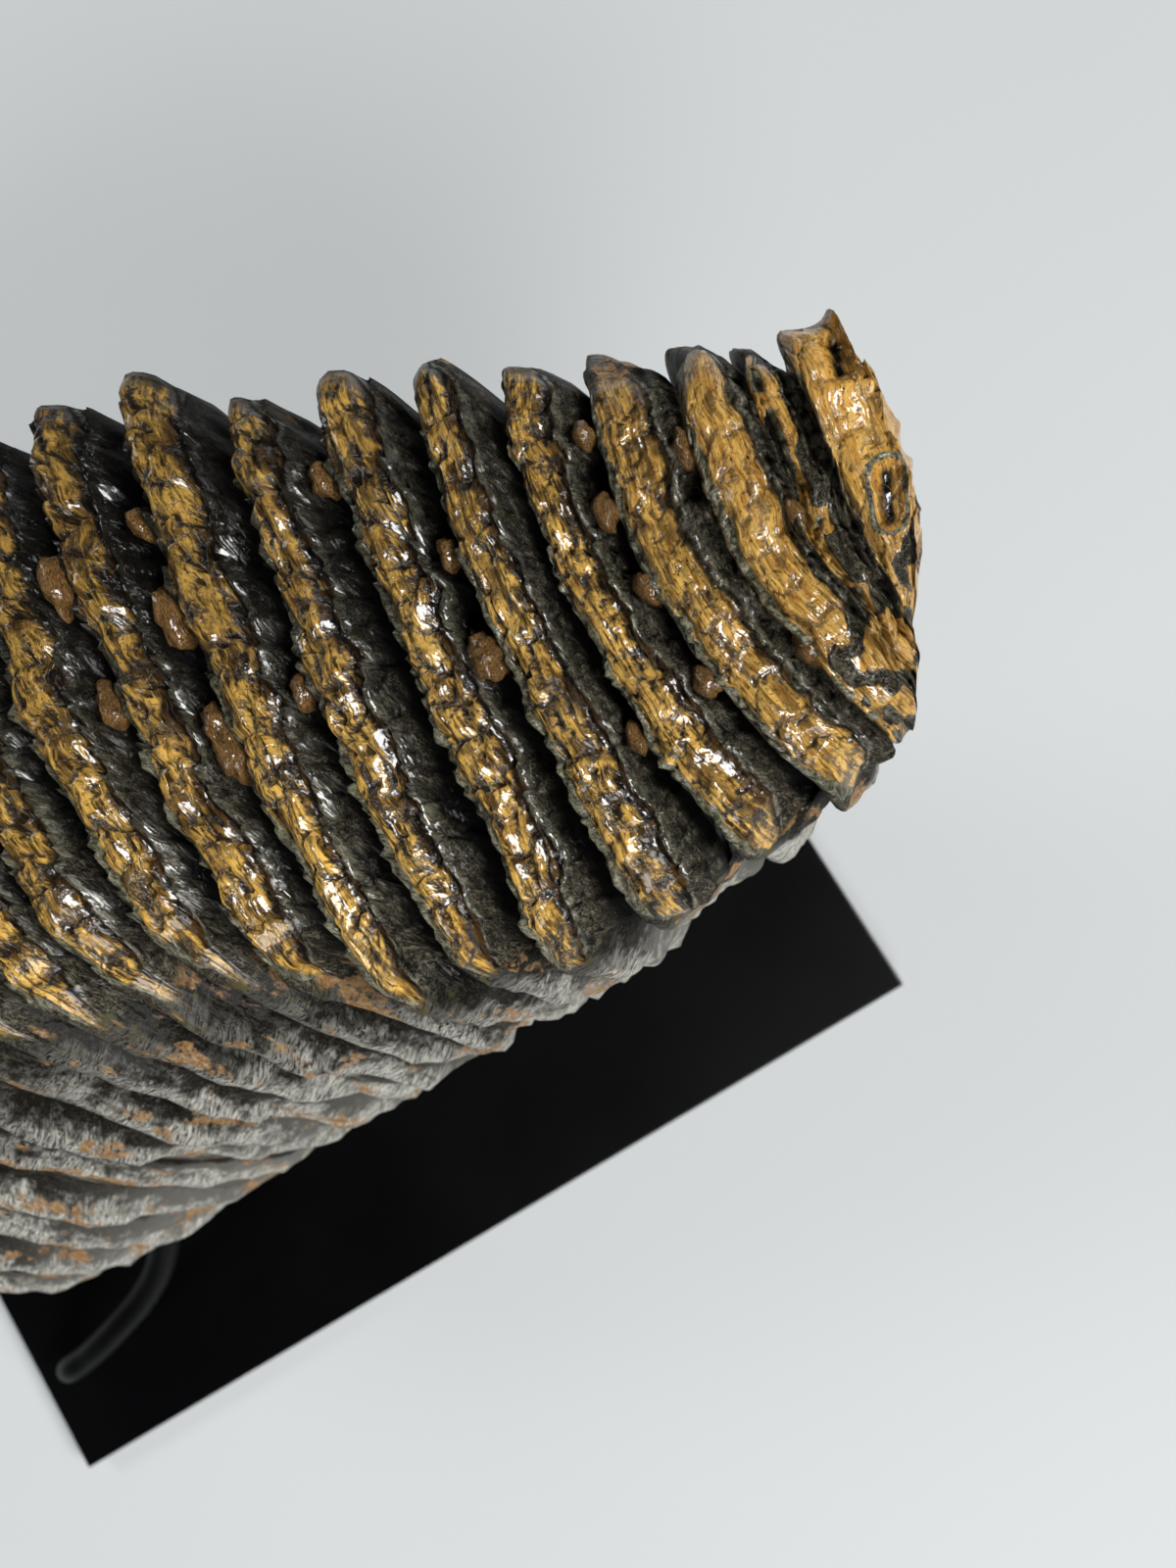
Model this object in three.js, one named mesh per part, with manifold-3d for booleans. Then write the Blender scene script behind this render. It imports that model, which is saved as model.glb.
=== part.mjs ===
// Fossil mammoth molar resting on a black base plate with four bent rods.
// Millimetres, +Z up. The origin is the centre of the base plate's underside,
// +X runs along the base and the tooth, from its tall rear end to its worn front end.
import * as THREE from 'three';
import { mergeVertices } from 'three/addons/utils/BufferGeometryUtils.js';
import Module from 'manifold-3d';

const wasm = await Module();
wasm.setup();

// Stand
const BASE_LENGTH = 286;
const BASE_DEPTH = 160;
const BASE_THICKNESS = 7;
const BASE_CORNER = 1.5;
const BASE_EDGE = 0.8;
const ROD_RADIUS = 4;
const ROD_SIDES = 10;
const GAP = 0.35;

// Tooth: its own frame has its zero at the base's top face, this far from the origin
const TOOTH_PLACE = new THREE.Vector3(146, -27.5, BASE_THICKNESS);
const PLATE_PITCH = 13;
const RIM_PLACE = 0.36;
const TROUGH_DEPTH = 1.6;
const END_BULGE = 4;
const WAVE = 0.9;
const VALLEY_DEPTH = 9.5;
const FLANK_GROOVE = 2.8;
const SIDEWAYS_TILT = 0.122;
const CORNER_DROP = 7;

// Each plate from the worn end: middle x, front end y, back end y, skew, bow
const PLATES = [
  [39, 22, 58, 7, 0],
  [31, 13, 65, 4, -2],
  [19, 6, 75, 1, -5],
  [5, 0, 78, 2, -7],
  [-9, -1, 86, 3, -7],
  [-21, -3, 93, 7, -3],
  [-34, 1, 100, 10, -1],
  [-48, 7, 105, 9, -1],
  [-61, 12, 115, 10, -3],
  [-75, 23, 120, 8, -2],
  [-87, 33, 121, 8, -2],
  [-101, 36, 121, 7, -3],
  [-114, 40, 122, 6, -3],
  [-127, 43, 124, 6, -3],
  [-140, 46, 126, 5, -3],
  [-153, 49, 127, 5, -3],
  [-166, 51, 127, 4, -3],
  [-179, 53, 126, 4, -2],
  [-192, 54, 124, 3, -2],
  [-205, 54, 121, 3, -2],
  [-218, 54, 117, 2, -1],
  [-231, 55, 112, 2, 0],
  [-243, 58, 104, 1, 1],
  [-253, 66, 94, 0, 2],
];
const LAST = PLATES.length - 1;

// Slow changes along the tooth, each given at these plates
const STATIONS = [0, 3, 6, 9, 12, 15, 18, 21, 23];
const TOP_HEIGHT = alongTooth([146, 151, 157, 166, 171, 172, 166, 151, 129]);
const CROWN_HEIGHT = alongTooth([44, 62, 82, 102, 118, 124, 119, 98, 60]);
const LEAN = alongTooth([0, 0.14, 0.25, 0.32, 0.36, 0.38, 0.37, 0.33, 0.28]);
const WIDEST_FRONT = alongTooth([17, 0, -7, -6, -5.5, -5, -5, 0, 30]);
const WIDEST_DEPTH = alongTooth([12, 16, 24, 42, 62, 76, 76, 62, 34]);
const WIDEST_SPAN = alongTooth([46, 82, 98, 106, 107, 108, 105, 92, 48]);
const TOP_DOME = alongTooth([2, 2, 2, 2, 2, 3, 7, 12, 10]);
const UNDER_TUCK = 13;
const UNDER_ROUND = 14;

// Lumps of cement left standing in the valleys: plate they follow, place across, radius
const VALLEY_LUMPS = [
  [1.5, 0.35, 4], [3.5, 0.1, 4.5], [4.5, 0.3, 4], [5.5, -0.15, 5.5], [6.5, 0.45, 4.5],
  [7.5, 0.2, 5], [8.5, -0.4, 4.5], [9.5, 0.1, 5], [10.5, 0.5, 4.5],
];

// Broken root stubs: plate above, place across, top radius, length
const ROOTS = [
  [1.5, 0, 14, 9], [8.5, -0.3, 13, 8], [8.5, 0.35, 13, 9], [11, 0, 15, 8],
  [13.5, -0.3, 13, 6], [13.5, 0.35, 14, 7], [16, 0, 15, 6],
];

function alongTooth(values) {
  const curve = new THREE.CubicInterpolant(STATIONS, values, 1);
  return (s) => curve.evaluate(s)[0];
}

// The plate at s: its ends stay its own up to the rims, and everything else blends to the next
function plateAt(s) {
  const nearest = THREE.MathUtils.clamp(Math.round(s), 0, LAST);
  const away = Math.abs(s - nearest);
  const next = THREE.MathUtils.clamp(nearest + Math.sign(s - nearest), 0, LAST);
  const past = Math.max(0, away - RIM_PLACE) / (1 - 2 * RIM_PLACE);
  const blend = (column, share) =>
    THREE.MathUtils.lerp(PLATES[nearest][column], PLATES[next][column], share);
  const beyond = nearest === next ? (nearest - s) * PLATE_PITCH : 0;
  return {
    x: blend(0, away) + beyond,
    front: blend(1, past),
    back: blend(2, past),
    skew: blend(3, away),
    bow: blend(4, away),
  };
}

// The point of the crown at plate s, across u (-1 front, 1 back) and down v (0 top, 1 base),
// pulled in from the flanks by inset and down from the chewing surface by drop
function crownPoint(s, u, v, inset, drop) {
  const plate = plateAt(s);
  const height = CROWN_HEIGHT(s);
  const depth = drop + v * (height - drop);
  const widestDepth = WIDEST_DEPTH(s);
  const swell = 1 - Math.pow(1 - Math.min(depth / widestDepth, 1), 1.7);
  const under = Math.max(0, (depth - widestDepth) / (height - widestDepth));
  const tuck = UNDER_TUCK * under * under;
  const widestBack = WIDEST_FRONT(s) + WIDEST_SPAN(s);
  const front = THREE.MathUtils.lerp(plate.front, WIDEST_FRONT(s), swell) + tuck + inset;
  const back = THREE.MathUtils.lerp(plate.back, widestBack, swell) - tuck - inset;
  const y = (front + back) / 2 + (u * (back - front)) / 2;
  const tilt = SIDEWAYS_TILT * (y - (plate.front + plate.back) / 2);
  const corner = CORNER_DROP * Math.pow(Math.abs(u), 5);
  const dome = (TOP_DOME(s) * u * u + corner) * (1 - v) * (1 - v);
  const lift = UNDER_ROUND * Math.pow(Math.abs(u), 3) * Math.pow(v, 4);
  const z = TOP_HEIGHT(s) + tilt - depth - dome + lift;
  const curl = (plate.skew * u - plate.bow * u * u) * (1 - 0.5 * v);
  const wave = WAVE * Math.sin(2.4 * s + 5 * u) * (1 - v);
  const x = plate.x + curl + wave + LEAN(s) * depth;
  return new THREE.Vector3(x, y, z);
}

function shapeBox(geometry, place) {
  const position = geometry.attributes.position;
  const point = new THREE.Vector3();
  for (let i = 0; i < position.count; i += 1) {
    point.fromBufferAttribute(position, i);
    point.copy(place(point.x, point.y, point.z));
    position.setXYZ(i, point.x, point.y, point.z);
  }
  return geometry;
}

// The crown along its length: on each plate a rim, a worn trough and a rim, then a valley
const STEPS_PER_PLATE = 4;
const STEP_PLACES = [-RIM_PLACE, 0, RIM_PLACE, 0.5];
const LAST_STEP = STEPS_PER_PLATE * PLATES.length - 2;

function crownGeometry() {
  const box = new THREE.BoxGeometry(LAST_STEP, 2, 1, LAST_STEP, 12, 5);
  return shapeBox(box, (x, u, level) => {
    const step = Math.round(LAST_STEP / 2 - x);
    const kind = step % STEPS_PER_PLATE;
    const s = Math.floor(step / STEPS_PER_PLATE) + STEP_PLACES[kind];
    const v = 0.5 - level;
    const isValley = kind === 3;
    const point = crownPoint(s, u, v, isValley ? FLANK_GROOVE : 0, isValley ? VALLEY_DEPTH : 0);
    if (kind === 1 && v === 0) {
      point.z -= TROUGH_DEPTH;
    }
    if (step === 0 || step === LAST_STEP) {
      const outward = step === 0 ? 1 : -1;
      point.x += outward * END_BULGE * (1 - u * u) * (1 - (2 * v - 1) ** 2);
    }
    return point;
  });
}

function lumpGeometry([s, u, radius]) {
  const lump = new THREE.IcosahedronGeometry(radius, 1);
  lump.scale(0.75, 1.4, 1);
  const place = crownPoint(s, u, 0, 0, VALLEY_DEPTH - 1.5);
  return lump.translate(place.x, place.y, place.z);
}

function rootGeometry([s, u, radius, length]) {
  const stub = new THREE.CylinderGeometry(radius, radius * 0.55, length + 8, 9, 2);
  stub.rotateX(Math.PI / 2);
  stub.scale(0.8, 1.1, 1);
  const place = crownPoint(s, u, 1, 0, 0);
  return stub.translate(place.x, place.y, place.z + 4 - length / 2);
}

function toSolid(geometry) {
  const bare = geometry.clone();
  bare.deleteAttribute('normal');
  bare.deleteAttribute('uv');
  const merged = mergeVertices(bare, 1e-4);
  const vertProperties = new Float32Array(merged.attributes.position.array);
  const triVerts = new Uint32Array(merged.index.array);
  return new wasm.Manifold(new wasm.Mesh({ numProp: 3, vertProperties, triVerts }));
}

function toGeometry(solid) {
  const mesh = solid.getMesh();
  const geometry = new THREE.BufferGeometry();
  geometry.setAttribute('position', new THREE.BufferAttribute(mesh.vertProperties, 3));
  geometry.setIndex(new THREE.BufferAttribute(mesh.triVerts, 1));
  geometry.computeVertexNormals();
  return geometry;
}

// The tooth is one grown piece: plates, cement, lumps and roots joined in one solid
function molarGeometry(legs) {
  let solid = toSolid(crownGeometry());
  for (const grown of [...VALLEY_LUMPS.map(lumpGeometry), ...ROOTS.map(rootGeometry)]) {
    solid = solid.add(toSolid(grown));
  }
  for (const leg of legs) {
    const end = new THREE.SphereGeometry(ROD_RADIUS + 2 * GAP, ROD_SIDES, 6);
    end.translate(...leg[leg.length - 1]);
    for (const seat of [rodGeometry(leg, ROD_RADIUS + GAP), end]) {
      seat.translate(-TOOTH_PLACE.x, -TOOTH_PLACE.y, -TOOTH_PLACE.z);
      solid = solid.subtract(toSolid(seat));
    }
  }
  return toGeometry(solid);
}

function basePlateGeometry() {
  const x = BASE_LENGTH / 2 - BASE_EDGE;
  const y = BASE_DEPTH / 2 - BASE_EDGE;
  const r = BASE_CORNER;
  const outline = new THREE.Shape();
  outline.moveTo(-x + r, -y);
  outline.lineTo(x - r, -y);
  outline.absarc(x - r, -y + r, r, -Math.PI / 2, 0);
  outline.absarc(x - r, y - r, r, 0, Math.PI / 2);
  outline.absarc(-x + r, y - r, r, Math.PI / 2, Math.PI);
  outline.absarc(-x + r, -y + r, r, Math.PI, 1.5 * Math.PI);
  const plate = new THREE.ExtrudeGeometry(outline, {
    depth: BASE_THICKNESS - 2 * BASE_EDGE,
    bevelSize: BASE_EDGE,
    bevelThickness: BASE_EDGE,
    bevelSegments: 1,
    curveSegments: 3,
  });
  return plate.translate(0, 0, BASE_EDGE);
}

// Legs: foot on the base, points on the way up, and a top end that follows the crown's underside
const FOOT_HEIGHT = BASE_THICKNESS + GAP;
const legRoutes = {
  front_left_leg: sweptLeg(-128, -51, 1, [[19.3, -0.4], [17.6, -0.2]]),
  back_left_leg: sweptLeg(-128, 65, -1, [[19.3, 0.4], [17.6, 0.2]]),
  front_right_leg: uprightLeg(122, -14, [[5.2, -0.45], [3.8, -0.25]]),
  back_right_leg: uprightLeg(122, 36, [[5.2, 0.45], [3.8, 0.25]]),
};

function underCrown([s, u]) {
  const seat = crownPoint(s, u, 1, 0, 0).add(TOOTH_PLACE);
  return [seat.x, seat.y, seat.z - ROD_RADIUS + 0.5];
}

// A low leg that sweeps in along the base before it rises; inward is 1 towards +Y
function sweptLeg(x, y, inward, seats) {
  return [
    [x, y, FOOT_HEIGHT],
    [x, y, FOOT_HEIGHT + 3],
    [x + 4, y, FOOT_HEIGHT + 9],
    [x + 16, y + inward, FOOT_HEIGHT + 14],
    [x + 32, y + 4 * inward, FOOT_HEIGHT + 19],
    [x + 47, y + 8 * inward, FOOT_HEIGHT + 23],
    [x + 60, y + 14 * inward, FOOT_HEIGHT + 28],
    [x + 70, y + 22 * inward, FOOT_HEIGHT + 33],
    ...seats.map(underCrown),
  ];
}

function uprightLeg(x, y, seats) {
  return [
    [x, y, FOOT_HEIGHT],
    [x, y, FOOT_HEIGHT + 18],
    [x + 3, y, FOOT_HEIGHT + 48],
    ...seats.map(underCrown),
  ];
}

function rodGeometry(route, radius) {
  const section = new THREE.Shape();
  for (let i = 0; i < ROD_SIDES; i += 1) {
    const angle = (2 * Math.PI * i) / ROD_SIDES;
    const corner = [radius * Math.cos(angle), radius * Math.sin(angle)];
    if (i === 0) {
      section.moveTo(...corner);
    } else {
      section.lineTo(...corner);
    }
  }
  section.closePath();
  const points = route.map((point) => new THREE.Vector3(...point));
  const path = new THREE.CatmullRomCurve3(points, false, 'centripetal');
  const steps = 2 * points.length;
  return new THREE.ExtrudeGeometry(section, { steps, extrudePath: path, bevelEnabled: false });
}

const blackPaint = { color: 0x050505, roughness: 0.25, metalness: 0 };
const fossil = { color: 0x6b4a22, roughness: 0.3, metalness: 0 };

function piece(name, geometry, finish) {
  const mesh = new THREE.Mesh(geometry, new THREE.MeshStandardMaterial(finish));
  mesh.name = name;
  return mesh;
}

const group = new THREE.Group();
group.add(piece('base_plate', basePlateGeometry(), blackPaint));
for (const [name, route] of Object.entries(legRoutes)) {
  group.add(piece(name, rodGeometry(route, ROD_RADIUS), blackPaint));
}
const molar = piece('molar', molarGeometry(Object.values(legRoutes)), fossil);
molar.position.copy(TOOTH_PLACE);
group.add(molar);

export default group;
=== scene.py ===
import math

import bpy
import numpy as np
from mathutils import Matrix, Vector


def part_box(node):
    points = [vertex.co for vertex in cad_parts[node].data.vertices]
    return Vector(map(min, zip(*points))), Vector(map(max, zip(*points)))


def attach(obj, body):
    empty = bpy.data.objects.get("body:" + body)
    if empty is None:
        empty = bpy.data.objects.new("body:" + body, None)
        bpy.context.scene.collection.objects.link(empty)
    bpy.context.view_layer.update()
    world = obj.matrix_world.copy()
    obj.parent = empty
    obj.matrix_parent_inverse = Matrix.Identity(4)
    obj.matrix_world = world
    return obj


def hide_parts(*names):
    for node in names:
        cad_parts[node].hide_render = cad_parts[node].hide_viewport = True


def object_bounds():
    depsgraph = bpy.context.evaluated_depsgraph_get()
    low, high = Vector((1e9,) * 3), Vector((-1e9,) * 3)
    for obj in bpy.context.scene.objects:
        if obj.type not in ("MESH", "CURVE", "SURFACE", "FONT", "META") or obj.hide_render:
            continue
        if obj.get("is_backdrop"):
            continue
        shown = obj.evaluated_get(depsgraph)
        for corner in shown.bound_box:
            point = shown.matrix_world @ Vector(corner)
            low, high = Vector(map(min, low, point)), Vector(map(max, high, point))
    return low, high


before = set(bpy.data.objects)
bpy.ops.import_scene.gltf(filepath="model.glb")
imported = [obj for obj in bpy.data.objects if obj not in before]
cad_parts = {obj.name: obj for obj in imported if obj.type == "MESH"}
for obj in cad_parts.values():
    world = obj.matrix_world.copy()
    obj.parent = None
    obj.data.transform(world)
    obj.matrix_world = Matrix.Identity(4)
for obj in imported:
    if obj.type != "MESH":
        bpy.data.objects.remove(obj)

solid_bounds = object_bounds()

# ---- Sizes, in metres. The tooth's own zero is on the base plate's top face.
MM = 0.001
BASE_LOW, BASE_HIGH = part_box("base_plate")
BASE_TOP = BASE_HIGH[2]
TOOTH_PLACE = np.array([146 * MM, -27.5 * MM, BASE_TOP])
PITCH = 13 * MM
RIM_PLACE = 0.36
FLANK_GROOVE = 5.0 * MM
SIDEWAYS_TILT = 0.122
CORNER_DROP = 7 * MM
END_BULGE = 4 * MM
WORN_END_REACH = 2.5 * MM
UNDER_TUCK = 13 * MM
UNDER_ROUND = 14 * MM

# Each plate from the worn end: middle x, front end y, back end y, skew, bow, in millimetres
PLATES = MM * np.array([
    [35.6, 17, 66, 5, 1], [28, 7, 66, 3, -3], [20, 2, 72, 1, -5], [5, -1, 77, 1, -7],
    [-9, -1, 86, 3, -7], [-21, -3, 93, 7, -3], [-34, 1, 100, 10, -1], [-48, 7, 105, 9, -1],
    [-61, 12, 115, 10, -3], [-75, 23, 120, 8, -2], [-87, 33, 121, 8, -2],
    [-101, 36, 121, 7, -3], [-114, 40, 122, 6, -3], [-127, 43, 124, 6, -3],
    [-140, 46, 126, 5, -3], [-153, 49, 127, 5, -3], [-166, 51, 127, 4, -3],
    [-179, 53, 126, 4, -2], [-192, 54, 124, 3, -2], [-205, 54, 121, 3, -2],
    [-218, 54, 117, 2, -1], [-231, 55, 112, 2, 0], [-243, 58, 104, 1, 1],
    [-253, 66, 94, 0, 2],
])
LAST = len(PLATES) - 1

# Slow changes along the tooth, given at these plates (millimetres, and a slope for the lean)
STATIONS = [0, 3, 6, 9, 12, 15, 18, 21, 23]
SLOW = {
    "top": [146, 151, 157, 166, 171, 172, 166, 151, 129],
    "height": [44, 62, 82, 102, 118, 124, 119, 98, 60],
    "lean": [0, 0.14, 0.25, 0.32, 0.36, 0.38, 0.37, 0.33, 0.28],
    "widest_front": [17, 0, -7, -6, -5.5, -5, -5, 4, 40],
    "widest_depth": [12, 16, 24, 42, 62, 76, 76, 62, 34],
    "widest_span": [46, 82, 98, 106, 107, 108, 105, 88, 44],
    "dome": [2, 2, 2, 2, 2, 3, 7, 12, 10],
}

# Where the lengthwise cuts of one plate lie, from its worn-end side to its rear side
FINE_CUTS = [-0.47, -0.43, -0.385, -0.34, -0.3, -0.265, -0.235, -0.205, -0.17, -0.13, -0.09, -0.04,
             0.03, 0.1, 0.17, 0.235, 0.28, 0.315, 0.345, 0.375, 0.405, 0.435, 0.465, 0.5]
COARSE_CUTS = [-0.42, -0.28, -0.13, 0.03, 0.18, 0.31, 0.42, 0.5]
FINE_PLATES = 13
TOP_COLUMNS = 156
UNDER_COLUMNS = 12
FRONT_ROWS = 34
BACK_ROWS = 18

# Drop of a worn plate's top below its rim, across the plate (millimetres)
WORN_ACROSS = [-0.5, -0.475, -0.44, -0.38, -0.32, -0.27, -0.23, -0.2, -0.16, -0.1, -0.04, 0.1, 0.2,
               0.27, 0.31, 0.345, 0.385, 0.42, 0.45, 0.5]
WORN_DROP = [12, 10, 6.6, 4.1, 3.0, 2.0, 0.9, 1.3, 1.9, 1.5, 0.9, 0.2, 0,
             0.5, 1.1, 0.8, 1.3, 5, 9.5, 12]

# How much broader or narrower the dentine is on the first plates
BROADER = [0.3, -0.6, 0.26, 0.14, 0]

# Rise of a flank's ridge across its plate, and of the fuller knuckles high on the back flank
RIDGE_ACROSS = [-0.5, -0.44, -0.36, -0.28, -0.2, -0.1, 0.0, 0.15, 0.27, 0.36, 0.42, 0.47, 0.5]
RIDGE_RISE = [0, 0.14, 0.28, 0.4, 0.52, 0.66, 0.78, 0.93, 1, 0.94, 0.72, 0.3, 0]
KNUCKLE_RISE = [0, 0.12, 0.3, 0.48, 0.64, 0.82, 0.93, 1, 0.95, 0.76, 0.48, 0.2, 0]
KNUCKLE_GROOVE = 9.5 * MM

# Cement lumps left in the valleys: valley, place across, length, width, height (millimetres)
LUMPS = [
    (5.57, 0.0, 4.9, 3.1, 4.6), (8.56, 0.24, 5.4, 2.5, 4), (8.56, -0.18, 6.6, 2.7, 4),
    (8.55, 0.54, 3, 2, 3.4), (7.56, -0.02, 3.2, 2.1, 3.6), (6.56, 0.65, 2.8, 2, 3.4),
    (5.55, 0.35, 2.8, 1.8, 3.2), (3.55, 0.36, 3.6, 2.1, 3.4), (3.56, 0.04, 3.2, 2.1, 3.4),
    (3.56, -0.36, 3, 2.1, 3.4), (3.5, 0.66, 2.6, 1.8, 3), (2.55, 0.5, 3.4, 1.8, 3),
    (2.5, -0.45, 3.6, 2, 3), (1.5, 0.05, 3, 1.7, 3), (4.55, -0.42, 2.8, 1.7, 3),
    (9.57, 0.42, 5.4, 2.4, 4), (9.56, 0.0, 4, 2.2, 3.6), (10.57, 0.5, 5, 2.4, 4),
    (11.56, -0.1, 5, 2.2, 3.8), (13.5, 0.2, 5, 2.2, 3.5),
]

# Hollows in the worn end's top: from, to, half width, depth (millimetres), and whether enamel rings it
HOLLOWS = [((42.0, 60.0), (40.2, 55.0), 1.2, 2.6, False), ((37.8, 38.4), (34.8, 31.6), 1.3, 1.9, True)]

# A low smooth knob on the worn end: the short line it lies round, its radius, its rise (millimetres)
AMBER_SPOT = ((25, 15.5), (25.1, 15.6))
AMBER_RADIUS = 4.5
AMBER_RISE = 1.6

# How far the worn end reaches (x), at these places across the tooth (y), in millimetres
WORN_LIMIT_Y = [-4, -1.6, -0.6, 3, 8.3, 12, 17.5, 25, 32, 40, 48, 58, 64]
WORN_LIMIT_X = [10, 17, 19.7, 23, 26, 29.6, 31, 36, 40, 43.3, 44.6, 46, 46.6]

# Broken root stubs: plate above, place across, radius, length (millimetres)
ROOTS = [(1.5, 0, 12, 8), (8.5, -0.3, 11, 7), (8.5, 0.35, 12, 8), (11, 0, 13, 7),
         (13.5, -0.3, 11, 6), (13.5, 0.35, 12, 6), (16, 0, 13, 5)]

# Small folds of a plate: reach across, length (millimetres), step between its sides, noise seed
FOLDS = [(0.07, 5.2, 2.7, 11), (0.04, 2.1, 5.1, 12), (0.06, 14, 1.3, 13)]

# Broken grains: length along the plate, width across it, noise seed
BLOCKS = (6.4 * MM, 2.8 * MM, 31)
SPLINTERS = (3.4 * MM, 1.3 * MM, 35)
CRUMBS = (2.6 * MM, 1.7 * MM, 38)

# In plates from the worn end: where the wear fades out, and where the freshly ground look does
WEAR_FADES = (14.5, 17.5)
FRESH_FADES = (0.6, 4.4)

# The chewing face: the least and greatest depth, the rims' beads, the unworn knobs and rear ridges
DROP_LIMITS = (-1.4 * MM, 13 * MM)
BEAD_LENGTH = 1.7 * MM
FINGER_WIDTH = 9.5 * MM

# What keeps the noise of one plate apart from the next one's, and the size of the noise tables
PLATE_KEY = 7.31
NOISE_CELLS = 64

# Limits of the crown's faces: v runs down it from 0 to 1, and |u| out to its flanks
TOP_EDGE = 0.02
UNDER_EDGE = 0.985
FLANK_EDGE = 0.999

# How the bar is cut: rings drawn in on its ends, how its rows crowd to the top, first cuts along it
END_RINGS = (0.93, 0.9, 0.86, 0.82, 0.76, 0.66, 0.5, 0.3)
CROWN_PACKING = 1.35
FIRST_CUTS = 12

# Lumps whose length times width is over this get a finer ball; all are sunk into their valley
LARGE_LUMP = 14
LUMP_SINK = 3.6 * MM
# Lumps take a little of the painted rear shade and none of the painted valley shade.
LUMP_ATTRIBUTES = {"across": 0.5, "past_edge": -40, "on_ridge": 0, "lump": 1, "unworn": 0,
                   "fresh": 0, "rear_shade": 0.3, "crevice": 0, "valley": 0}

# The stand: its rods, where each starts, and the places (plate, across) under the crown it meets
ROD_RADIUS = 4 * MM
FOOT_HEIGHT = BASE_TOP + 0.35 * MM
SWEPT_LEGS = {
    "front_left_leg": (-128, -51, 1, [(19.3, -0.4), (17.6, -0.2)]),
    "back_left_leg": (-128, 65, -1, [(19.3, 0.4), (17.6, 0.2)]),
}
UPRIGHT_LEGS = {
    "front_right_leg": (122, -14, [(5.2, -0.45), (3.8, -0.25)]),
    "back_right_leg": (122, 36, [(5.2, 0.45), (3.8, 0.25)]),
}
BASE_SOFTENING = 0.6 * MM

# How far a rod presses into the tooth's plain underside, in millimetres
ROD_SINK = 0.5

# The camera, and the point it is focused on
CAMERA_PLACE = Vector((146 * MM, -27.5 * MM, BASE_TOP + 330 * MM))
CAMERA_RIGHT = Vector((0.8305, -0.5261, -0.1826))
CAMERA_UP = Vector((0.5390, 0.8420, 0.0258))
FOCAL_LENGTH = 27.04
FOCUS_POINT = (90 * MM, 5 * MM, 165 * MM)
APERTURE = 15

# The light: a broad window, two soft fills, and a room that is brighter seen than shining
WINDOW_POWER = 3.25
WINDOW_SPREAD = math.radians(24)
WINDOW_AIM = Vector((-0.85, 0.52, -0.8))
ROOM_TINT = (0.93, 0.97, 1.0, 1)
ROOM_LIGHT = 0.035
ROOM_SEEN = 0.6

# Screen colours, 0 to 255
TONES = {
    "dark_gold": (54, 33, 10), "bright_gold": (255, 202, 98), "dull_gold": (150, 104, 40),
    # This line starts with a painted highlight colour for the gold.
    "gold_painted_highlight": (255, 218, 142), "streak": (36, 22, 8), "pit": (24, 15, 6),
    "stain_dark": (20, 12, 4), "stain_light": (96, 62, 24),
    "smooth_gold_dark": (204, 138, 46), "smooth_gold_light": (255, 206, 112),
    "enamel_dark": (74, 72, 54), "enamel_light": (196, 192, 160), "enamel_green": (52, 48, 26),
    "cement_dark": (24, 21, 17), "cement_light": (140, 130, 110), "cement_deep": (26, 22, 17),
    "lump_dark": (112, 76, 38), "lump_light": (214, 164, 98),
    "strip_dark": (10, 7, 4), "strip_light": (100, 72, 34),
    # The first colour here is painted shade for deep valleys and hollows, and the last is painted shade
    # towards the rear; the crack colour is the cracks' own.
    "valley": (7, 6, 5), "crack": (12, 7, 3), "rear_shade": (50, 42, 33),
    # The first colour here is the flank's dark cement and also its painted groove shade; the second is pale
    # hairs and painted sheen.
    "flank_dark_and_groove_shade": (12, 11, 9), "flank_hair_and_sheen": (252, 249, 236), "olive": (124, 114, 62),
    "ochre_dark": (184, 134, 84), "ochre_light": (228, 192, 142),
    "black_deep": (3, 3, 4), "black_soft": (6, 6, 7),
    "table_dark": (203, 206, 206), "table_light": (210, 213, 213),
}


# ---- Small helpers
def smoothstep(low, high, value):
    share = np.clip((value - low) / (high - low), 0, 1)
    return share * share * (3 - 2 * share)


def lattice_noise(x, y, seed):
    """Smooth repeatable noise from -1 to 1 on a unit lattice."""
    table = np.random.RandomState(seed).uniform(-1, 1, (NOISE_CELLS, NOISE_CELLS))
    ix, iy = np.floor(x).astype(int), np.floor(y).astype(int)
    fx, fy = x - ix, y - iy
    fx, fy = fx * fx * (3 - 2 * fx), fy * fy * (3 - 2 * fy)
    corner = lambda dx, dy: table[(ix + dx) % NOISE_CELLS, (iy + dy) % NOISE_CELLS]
    low = corner(0, 0) * (1 - fx) + corner(1, 0) * fx
    high = corner(0, 1) * (1 - fx) + corner(1, 1) * fx
    return low * (1 - fy) + high * fy


def deselect_all():
    if bpy.context.object and bpy.context.object.mode != "OBJECT":
        bpy.ops.object.mode_set(mode="OBJECT")
    bpy.ops.object.select_all(action="DESELECT")


def natural_curve(stations, values):
    """A smooth curve through a few values, as a function of numpy arrays."""
    x = np.array(stations, float)
    y = np.array(values, float)
    slope = np.gradient(y, x)

    def at(s):
        s = np.clip(s, x[0], x[-1])
        i = np.clip(np.searchsorted(x, s, side="right") - 1, 0, len(x) - 2)
        h = x[i + 1] - x[i]
        t = (s - x[i]) / h
        a = (1 + 2 * t) * (1 - t) ** 2 * y[i] + t * (1 - t) ** 2 * h * slope[i]
        b = t * t * (3 - 2 * t) * y[i + 1] + t * t * (t - 1) * h * slope[i + 1]
        return a + b
    return at


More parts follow.
